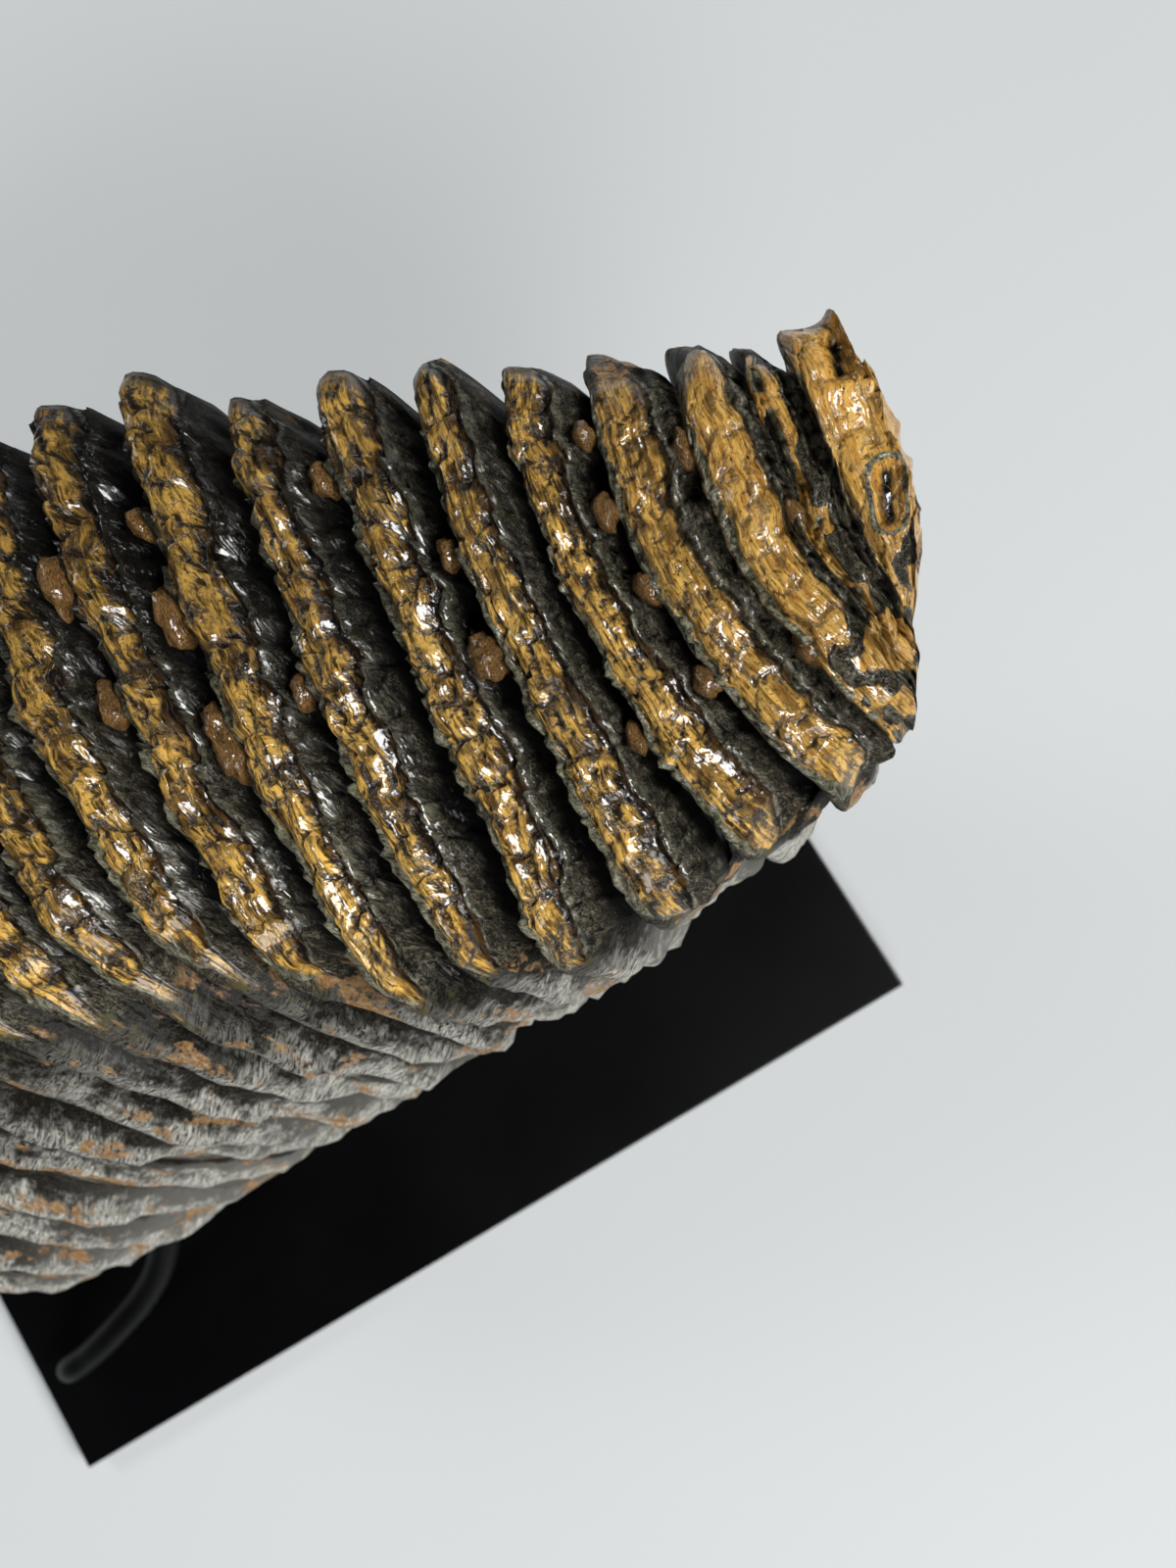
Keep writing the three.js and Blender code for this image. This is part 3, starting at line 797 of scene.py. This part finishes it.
# ---- Materials
class Nodes:
    """Short names for building one material's node tree."""

    def __init__(self, name):
        self.material = bpy.data.materials.new(name)
        self.material.use_nodes = True
        self.tree = self.material.node_tree
        self.tree.nodes.clear()
        self.shader = self.tree.nodes.new("ShaderNodeBsdfPrincipled")
        output = self.tree.nodes.new("ShaderNodeOutputMaterial")
        self.tree.links.new(self.shader.outputs[0], output.inputs[0])

    def plug(self, value, socket):
        if hasattr(value, "links"):
            self.tree.links.new(value, socket)
        elif value is not None:
            socket.default_value = value

    def set(self, name, value):
        """Gives the shader's own socket a value or a pattern."""
        self.plug(value, self.shader.inputs[name])

    def node(self, kind, inputs, output=0, **settings):
        """Adds a node with its inputs filled in and returns one of its outputs."""
        node = self.tree.nodes.new(kind)
        for key, value in settings.items():
            setattr(node, key, value)
        for name, value in inputs.items():
            self.plug(value, node.inputs[name])
        return node.outputs[output]

    def attribute(self, name, vector=False):
        return self.node("ShaderNodeAttribute", {}, "Vector" if vector else "Fac", attribute_name=name)

    def object_place(self):
        return self.node("ShaderNodeTexCoord", {}, "Object")

    def math(self, operation, a, b=None, clamp=False):
        return self.node("ShaderNodeMath", {0: a, 1: b}, operation=operation, use_clamp=clamp)

    def times(self, a, b):
        return self.math("MULTIPLY", a, b)

    def plus(self, a, b):
        return self.math("ADD", a, b)

    def minus(self, a, b):
        return self.math("SUBTRACT", a, b)

    def rest(self, share):
        return self.minus(1, share)

    def astray(self, pattern, reach):
        """A pattern from 0 to 1 as a shift to either side."""
        return self.times(self.minus(pattern, 0.5), reach)

    def stretch(self, vector, scale, offset):
        return self.node("ShaderNodeMapping", {"Vector": vector, "Scale": scale, "Location": offset})

    def noise(self, vector, scale, detail, roughness, distortion=0.0):
        inputs = {"Vector": vector, "Scale": scale, "Detail": detail, "Roughness": roughness}
        return self.node("ShaderNodeTexNoise", {**inputs, "Distortion": distortion}, "Fac")

    def between(self, value, low, high):
        """0 to 1, smoothly, between two limits."""
        inputs = {"Value": value, "From Min": low, "From Max": high}
        return self.node("ShaderNodeMapRange", inputs, "Result", interpolation_type="SMOOTHSTEP")

    def band(self, place, low, high, soft=0.02):
        """1 where a place lies between two limits."""
        rising = self.between(place, low - soft, low + soft)
        return self.times(rising, self.rest(self.between(place, high - soft, high + soft)))

    def mix(self, share, a, b, blend="MIX"):
        return self.node("ShaderNodeMix", {0: share, 6: a, 7: b}, 2, data_type="RGBA", blend_type=blend)

    def mix_value(self, share, a, b):
        return self.node("ShaderNodeMix", {0: share, 2: a, 3: b}, data_type="FLOAT")

    def lay_over(self, colour, share, strength, other):
        """A colour with another laid over a share of it."""
        return self.mix(self.times(share, strength), colour, other)

    def bump(self, height, strength, distance):
        return self.node("ShaderNodeBump", {"Height": height, "Strength": strength, "Distance": distance})


def tone(name):
    """A named screen colour as the linear colour that a shader takes."""
    def linear(value):
        value /= 255
        return value / 12.92 if value <= 0.04045 else ((value + 0.055) / 1.055) ** 2.4
    red, green, blue = TONES[name]
    return (linear(red), linear(green), linear(blue), 1)


class FossilNodes(Nodes):
    """The tooth's material, with the attributes and patterns that its tissues share."""

    def __init__(self):
        super().__init__("varnished_fossil")
        self.grain = self.attribute("grain", vector=True)
        self.past_edge = self.attribute("past_edge")
        self.on_ridge = self.attribute("on_ridge")
        self.fresh = self.attribute("fresh")
        self.fibres = self.fibre_noise((1.5, 0.16, 1), 6, 0.68, 0.6)
        self.blotches = self.noise(self.grain, 0.45, 4, 0.65)
        self.patches = self.noise(self.grain, 0.13, 3, 0.6)
        self.speckle = self.noise(self.grain, 1.5, 4, 0.7)
        self.grit = self.noise(self.grain, 3.4, 5, 0.75)
        self.stray = self.astray(self.noise(self.grain, 0.6, 5, 0.65), 0.13)
        self.place = self.plus(self.attribute("across"), self.stray)
        self.rear_rim = self.band(self.place, 0.3, 0.425)
        self.front_rim = self.band(self.place, -0.27, -0.205)
        self.dentine = self.band(self.place, -0.15, 0.3)
        edge_place = self.plus(self.past_edge, self.astray(self.blotches, 11))
        worn = self.rest(self.between(edge_place, 1.0, 5.0))
        self.worn = self.times(worn, self.rest(self.attribute("unworn")))

    def fibre_noise(self, stretch, detail, roughness, distortion=0.0, offset=(0, 0, 0)):
        """Noise in the grain's own place, drawn out along the plates."""
        return self.noise(self.stretch(self.grain, stretch, offset), 1.0, detail, roughness, distortion)


def crack_share(n):
    """Cracks that part the dentine into blocks, and hair cracks within them."""
    cells = {"Vector": n.stretch(n.grain, (0.8, 0.4, 1), (0, 0, 0)), "Scale": 1.0, "Randomness": 1.0}
    crazing = n.node("ShaderNodeTexVoronoi", cells, "Distance", feature="DISTANCE_TO_EDGE")
    hair = n.times(n.rest(n.between(crazing, 0.0, 0.07)), n.between(n.speckle, 0.48, 0.6))
    broken = n.between(n.plus(n.attribute("crevice"), n.astray(n.speckle, 2.4)), 0.35, 0.85)
    broken = n.times(broken, n.rest(n.times(n.fresh, 0.5)))
    return n.times(n.math("MAXIMUM", broken, n.times(hair, 0.5)), n.worn)


def dark_strip(n):
    """A dark strip of uneven width between the front rim and the dentine."""
    drift = n.astray(n.fibre_noise((0.05, 0.14, 1), 3, 0.6), 0.5)
    far_side = n.between(n.plus(n.place, drift), -0.12, -0.04)
    return n.times(n.times(n.between(n.place, -0.23, -0.2), n.rest(far_side)), n.rest(n.fresh))


def gold_dentine(n):
    """Golden dentine, streaked, pitted and stained, with pale painted highlight specks; smoother at the worn
    end.
    """
    streaks = n.fibre_noise((0.85, 0.085, 1), 4, 0.6, 0.5, (5, 3, 0))
    pits = n.fibre_noise((1.6, 0.7, 1), 4, 0.7, 0.8, (2, 8, 0))
    stains = n.fibre_noise((0.34, 0.12, 1), 4, 0.65, 0.0, (4, 4, 0))
    mottle = n.mix_value(0.3, n.fibres, n.blotches)
    gold = n.mix(n.between(mottle, 0.41, 0.56), tone("dark_gold"), tone("bright_gold"))
    gold = n.lay_over(gold, n.between(n.patches, 0.5, 0.62), 0.4, tone("dull_gold"))
    # Painted highlight: pale gold specks where the speckle noise is high.
    gold = n.lay_over(gold, n.between(n.speckle, 0.54, 0.68), 0.5, tone("gold_painted_highlight"))
    gold = n.lay_over(gold, n.between(streaks, 0.52, 0.61), 0.75, tone("streak"))
    gold = n.lay_over(gold, n.between(pits, 0.58, 0.66), 0.8, tone("pit"))
    stain_tone = n.mix(n.fibres, tone("stain_dark"), tone("stain_light"))
    gold = n.lay_over(gold, n.between(stains, 0.52, 0.62), 0.7, stain_tone)
    smooth = n.mix(n.between(n.fibres, 0.34, 0.66), tone("smooth_gold_dark"), tone("smooth_gold_light"))
    return n.lay_over(gold, n.fresh, n.between(pits, 0.66, 0.56), smooth)


def grey_enamel(n):
    enamel = n.mix(n.between(n.speckle, 0.36, 0.62), tone("enamel_dark"), tone("enamel_light"))
    return n.lay_over(enamel, n.between(n.blotches, 0.5, 0.6), 0.55, tone("enamel_green"))


def charcoal_cement(n, enamel):
    """Charcoal cement, gritty, with rubble of enamel in it."""
    charcoal = n.mix(n.between(n.grit, 0.44, 0.64), tone("cement_dark"), tone("cement_light"))
    charcoal = n.lay_over(charcoal, n.between(n.blotches, 0.46, 0.62), 0.6, tone("cement_deep"))
    rubble = n.between(n.noise(n.grain, 0.95, 4, 0.7), 0.52, 0.6)
    return n.lay_over(charcoal, rubble, 0.55, enamel)


def brown_lump(n, charcoal):
    brown = n.mix(n.between(n.grit, 0.4, 0.62), tone("lump_dark"), tone("lump_light"))
    return n.lay_over(brown, n.between(n.blotches, 0.56, 0.66), 0.5, charcoal)


def worn_top(n, charcoal, enamel, cracks):
    """The chewing face: its tissues laid one over the other, painted shade in the deep valleys and hollows,
    and the cracks last.
    """
    dark_brown = n.mix(n.between(n.fibres, 0.42, 0.62), tone("strip_dark"), tone("strip_light"))
    top = n.mix(n.front_rim, charcoal, n.mix(0.5, enamel, charcoal))
    top = n.mix(n.dentine, top, gold_dentine(n))
    top = n.mix(dark_strip(n), top, dark_brown)
    top = n.mix(n.rear_rim, top, enamel)
    # Painted shade: near black where the valleys and hollows are deep.
    top = n.mix(n.attribute("valley"), top, tone("valley"))
    top = n.mix(n.attribute("lump"), top, brown_lump(n, charcoal))
    return n.lay_over(top, cracks, 0.92, tone("crack"))


def flank_skin(n, charcoal, wrinkles):
    """Charcoal cement with pale hairy fibres, painted sheen and painted light on the side of each ridge
    towards the rear and lower down, painted shade in its grooves, and ochre and olive showing.
    """
    strayed = n.plus(n.on_ridge, n.astray(n.blotches, 1.1))
    strayed = n.plus(strayed, n.astray(n.patches, 1.2))
    # Pale hairy fibres with painted sheen, and painted light on the side of each ridge towards the rear.
    hair_and_sheen = n.times(n.between(strayed, -0.22, 0.24), n.between(wrinkles, 0.42, 0.55))
    # The painted sheen is weak just under the chewing face's edge, and more is added lower down, towards the
    # flank's outline.
    hair_and_sheen = n.times(hair_and_sheen, n.mix_value(n.between(n.past_edge, 3, 30), 0.14, 1.0))
    hair_and_sheen = n.math("ADD", hair_and_sheen, n.times(n.between(n.past_edge, 30, 66), 0.25), clamp=True)
    flank = n.mix(hair_and_sheen, n.mix(0.75, charcoal, tone("flank_dark_and_groove_shade")), tone("flank_hair_and_sheen"))
    olive = n.times(n.between(n.blotches, 0.54, 0.62), n.between(n.on_ridge, -0.3, 0.1))
    olive = n.times(olive, n.rest(n.between(n.past_edge, 4, 14)))
    flank = n.lay_over(flank, olive, 0.8, tone("olive"))
    ochre_share = n.between(n.fibre_noise((0.11, 0.06, 1), 4, 0.65, 0.0, (7, 1, 0)), 0.54, 0.58)
    ochre_share = n.times(ochre_share, n.between(n.blotches, 0.42, 0.52))
    ochre = n.mix(n.between(n.speckle, 0.4, 0.65), tone("ochre_dark"), tone("ochre_light"))
    flank = n.mix(ochre_share, flank, ochre)
    # Painted shade in the grooves beside each ridge.
    groove = n.between(n.math("ABSOLUTE", n.plus(n.on_ridge, n.stray)), 0.38, 0.47)
    return n.lay_over(flank, groove, 0.92, tone("flank_dark_and_groove_shade"))


def add_rear_shade(n, skin):
    """Painted shade: darker towards the back and rear of the tooth's top, less of it on the gold."""
    rear_shade = n.times(n.attribute("rear_shade"), n.mix_value(n.times(n.dentine, n.worn), 0.95, 0.5))
    return n.mix(rear_shade, skin, n.mix(1.0, skin, tone("rear_shade"), "MULTIPLY"))


def surface_relief(n, cracks, wrinkles):
    """Fine relief: fibres, grit and wrinkles stand up and cracks cut in."""
    fine_fibres = n.fibre_noise((4.5, 0.6, 1), 4, 0.65, 0.4)
    relief = n.times(n.fibres, 0.9)
    relief = n.plus(relief, n.times(fine_fibres, 0.2))
    relief = n.plus(relief, n.times(n.speckle, 0.55))
    relief = n.plus(relief, n.times(n.grit, n.mix_value(n.dentine, 1.1, 0.25)))
    relief = n.minus(relief, n.times(cracks, 0.7))
    return n.plus(relief, n.times(n.times(wrinkles, 1.6), n.rest(n.worn)))


def add_varnish(n, cracks):
    """A wet coat with its own soft ripples, thickest on the gold, front rims and lumps."""
    soft_fibres = n.fibre_noise((0.8, 0.13, 1), 2.0, 0.5, 0.3)
    ripples = n.fibre_noise((0.6, 0.35, 1), 2.5, 0.5)
    wet = n.plus(n.times(ripples, 0.6), n.times(soft_fibres, 0.6))
    wet = n.minus(wet, n.times(cracks, 0.25))
    thick = n.math("MAXIMUM", n.front_rim, n.attribute("lump"))
    thick = n.math("MAXIMUM", n.math("MAXIMUM", n.dentine, n.rear_rim), thick)
    thick = n.minus(n.times(thick, n.worn), n.times(n.rear_rim, 0.6))
    n.set("Coat Normal", n.bump(wet, 1.0, 0.00045))
    n.set("Coat Weight", n.mix_value(thick, 0.1, 1.0))
    n.set("Coat Roughness", 0.08)
    n.set("Coat IOR", 1.5)


def varnished_fossil():
    n = FossilNodes()
    cracks = crack_share(n)
    wrinkles = n.fibre_noise((0.26, 1.7, 1), 6, 0.75, 2.2)
    enamel = grey_enamel(n)
    charcoal = charcoal_cement(n, enamel)
    skin = n.mix(n.worn, flank_skin(n, charcoal, wrinkles), worn_top(n, charcoal, enamel, cracks))
    n.set("Base Color", add_rear_shade(n, skin))
    n.set("Roughness", n.mix_value(n.dentine, 0.5, 0.35))
    n.set("Normal", n.bump(surface_relief(n, cracks, wrinkles), 1.0, 0.0012))
    n.set("Specular IOR Level", 0.1)
    add_varnish(n, cracks)
    return n.material


def black_gloss(name, roughness, specular, speckle):
    n = Nodes(name)
    place = n.object_place()
    haze = n.noise(place, 14, 4, 0.6)
    fine = n.noise(place, speckle, 3, 0.6)
    n.set("Base Color", n.mix(n.between(haze, 0.4, 0.65), tone("black_deep"), tone("black_soft")))
    n.set("Roughness", n.plus(roughness, n.times(haze, 0.08)))
    n.set("Normal", n.bump(fine, 0.06, 0.0002))
    n.set("Specular IOR Level", specular)
    return n.material


def pale_table():
    n = Nodes("pale_table")
    cloud = n.noise(n.object_place(), 3.0, 3, 0.5)
    n.set("Base Color", n.mix(cloud, tone("table_dark"), tone("table_light")))
    n.set("Roughness", 0.55)
    return n.material


# ---- Stage, camera and light
def place_camera():
    back = CAMERA_RIGHT.cross(CAMERA_UP).normalized()
    right = CAMERA_RIGHT.normalized()
    up = back.cross(right)
    turn = Matrix((right, up, back)).transposed().to_4x4()
    deselect_all()
    bpy.ops.object.camera_add()
    camera = bpy.context.object
    camera.name = "camera"
    camera.matrix_world = Matrix.Translation(CAMERA_PLACE) @ turn
    camera.data.lens = FOCAL_LENGTH
    camera.data.sensor_width = 36
    camera.data.clip_start = 0.01
    bpy.ops.object.empty_add(location=FOCUS_POINT)
    focus = bpy.context.object
    focus.name = "focus_point"
    camera.data.dof.use_dof = True
    camera.data.dof.focus_object = focus
    camera.data.dof.aperture_fstop = APERTURE
    bpy.context.scene.camera = camera


def lay_table():
    deselect_all()
    bpy.ops.mesh.primitive_plane_add(size=3, location=(0, 0, BASE_LOW[2]))
    table = bpy.context.object
    table.name = "table"
    bpy.ops.object.transform_apply(location=True, rotation=True, scale=True)
    table.data.materials.append(pale_table())
    table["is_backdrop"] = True


def soft_light(name, place, aim, size, power, tint):
    bpy.ops.object.light_add(type="AREA", location=place)
    light = bpy.context.object
    light.name = name
    light.data.shape = "RECTANGLE"
    light.data.size, light.data.size_y = size
    light.data.energy = power
    light.data.color = tint
    direction = Vector(aim) - Vector(place)
    light.rotation_euler = direction.to_track_quat("-Z", "Y").to_euler()


def light_studio():
    deselect_all()
    bpy.ops.object.light_add(type="SUN", location=(1.2, -0.7, 1.0))
    window = bpy.context.object
    window.name = "window"
    window.data.energy = WINDOW_POWER
    window.data.angle = WINDOW_SPREAD
    window.rotation_euler = WINDOW_AIM.to_track_quat("-Z", "Y").to_euler()
    soft_light("front_window", (0.1, -1.8, 1.4), (0.0, 0, 0.1), (1.5, 0.9), 30, (0.98, 0.99, 1.0))
    soft_light("back_fill", (-1.0, 1.9, 1.9), (0, 0, 0.1), (1.1, 0.8), 14, (0.96, 0.99, 1.0))
    bpy.context.scene.view_settings.view_transform = "Standard"
    dim_room()


def dim_room():
    """Walls that the camera sees lighter than they shine on the tooth."""
    world = bpy.data.worlds.new("room")
    bpy.context.scene.world = world
    world.use_nodes = True
    tree = world.node_tree
    dim = tree.nodes["Background"]
    dim.inputs["Color"].default_value = ROOM_TINT
    dim.inputs["Strength"].default_value = ROOM_LIGHT
    wall = tree.nodes.new("ShaderNodeBackground")
    wall.inputs["Color"].default_value = ROOM_TINT
    wall.inputs["Strength"].default_value = ROOM_SEEN
    path = tree.nodes.new("ShaderNodeLightPath")
    choose = tree.nodes.new("ShaderNodeMixShader")
    tree.links.new(path.outputs["Is Camera Ray"], choose.inputs[0])
    tree.links.new(dim.outputs[0], choose.inputs[1])
    tree.links.new(wall.outputs[0], choose.inputs[2])
    tree.links.new(choose.outputs[0], tree.nodes["World Output"].inputs["Surface"])


# ---- The stand
def make_base(paint):
    low, high = Vector(BASE_LOW), Vector(BASE_HIGH)
    deselect_all()
    bpy.ops.mesh.primitive_cube_add(size=1, location=(low + high) / 2)
    base = bpy.context.object
    base.name = "black_base"
    base.dimensions = high - low
    bpy.ops.object.transform_apply(location=True, rotation=True, scale=True)
    soften = base.modifiers.new("soften", "BEVEL")
    soften.width = BASE_SOFTENING
    soften.segments = 4
    bpy.ops.object.modifier_apply(modifier="soften")
    bpy.ops.object.shade_smooth_by_angle(angle=math.radians(40))
    base.data.materials.append(paint)
    return base


def under_crown(s, u):
    """A point on a rod's route, in millimetres, where it presses a little into the plain underside."""
    seat = under_place(s, u) + TOOTH_PLACE
    return (seat[0] / MM, seat[1] / MM, (seat[2] - ROD_RADIUS) / MM + ROD_SINK)


def swept_leg(x, y, inward, seats):
    """A low leg that sweeps in along the base before it rises; inward is 1 towards +Y."""
    foot = FOOT_HEIGHT / MM
    return [(x, y, foot), (x, y, foot + 3), (x + 4, y, foot + 9), (x + 16, y + inward, foot + 14),
            (x + 32, y + 4 * inward, foot + 19), (x + 47, y + 8 * inward, foot + 23),
            (x + 60, y + 14 * inward, foot + 28), (x + 70, y + 22 * inward, foot + 33),
            *[under_crown(*seat) for seat in seats]]


def upright_leg(x, y, seats):
    foot = FOOT_HEIGHT / MM
    return [(x, y, foot), (x, y, foot + 18), (x + 3, y, foot + 48), *[under_crown(*seat) for seat in seats]]


def leg_routes():
    routes = {name: swept_leg(*row) for name, row in SWEPT_LEGS.items()}
    routes.update({name: upright_leg(*row) for name, row in UPRIGHT_LEGS.items()})
    return routes


def make_leg(name, route, paint):
    """A round rod swept along its route."""
    deselect_all()
    bpy.ops.curve.primitive_bezier_curve_add()
    leg = bpy.context.object
    leg.name = name.replace("leg", "rod")
    leg.data.dimensions = "3D"
    spline = leg.data.splines[0]
    spline.bezier_points.add(len(route) - 2)
    for point, place in zip(spline.bezier_points, route):
        point.co = Vector(place) * MM
        point.handle_left_type = point.handle_right_type = "AUTO"
    leg.data.resolution_u = 10
    leg.data.bevel_depth = ROD_RADIUS
    leg.data.bevel_resolution = 6
    leg.data.use_fill_caps = True
    bpy.ops.object.convert(target="MESH")
    bpy.ops.object.shade_smooth_by_angle(angle=math.radians(50))
    leg.data.materials.append(paint)
    return leg


# ---- Assembly
place_camera()
lay_table()
light_studio()

tooth = make_tooth()
tooth.data.materials.append(varnished_fossil())
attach(tooth, "root")
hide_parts("molar")

base = make_base(black_gloss("base_paint", 0.24, 0.3, 900))
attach(base, "root")
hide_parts("base_plate")

rod_paint = black_gloss("rod_paint", 0.42, 0.12, 700)
for name, route in leg_routes().items():
    leg = make_leg(name, route, rod_paint)
    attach(leg, "root")
    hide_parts(name)

sizes = {
    "solid": [list(corner) for corner in solid_bounds],
    "visual": [list(corner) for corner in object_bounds()],
}
